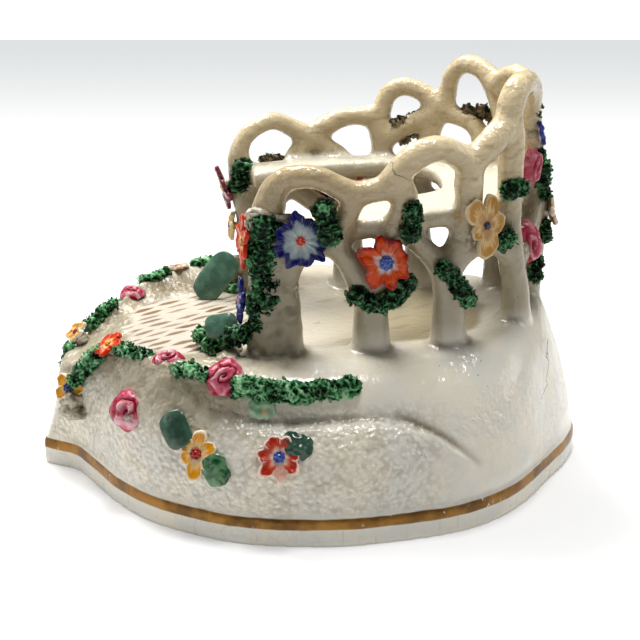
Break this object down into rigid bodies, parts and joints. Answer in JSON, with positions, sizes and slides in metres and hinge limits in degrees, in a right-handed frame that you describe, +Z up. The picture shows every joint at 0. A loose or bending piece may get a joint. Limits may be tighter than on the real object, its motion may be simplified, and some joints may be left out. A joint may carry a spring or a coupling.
{
  "type": "porcelain garden bower figure",
  "caption": "Small porcelain garden bower: a mound with a gilt foot line, a U-shaped seat inside an openwork lattice of rolled rods, and applied flowers and leaves.",
  "frame": {"origin": "middle of the flat underside", "axes": "+Z up, -Y towards the open front of the bower, +X towards the side with the large blue, red and yellow flowers"},
  "size_m": [0.11, 0.141, 0.1041],
  "materials": {
    "glaze": "glossy cream-white glaze, finely crazed, with a worn gilt line round the foot",
    "leaf_green": "glossy enamel on shredded leaf, dark in its hollows",
    "flower_enamel": "painted petals in orange-red, cobalt blue and yellow",
    "rose_enamel": "pink enamel, paler on the petals' edges"
  },
  "bodies": {
    "root": {"bower": "glaze"}
  },
  "joints": []
}
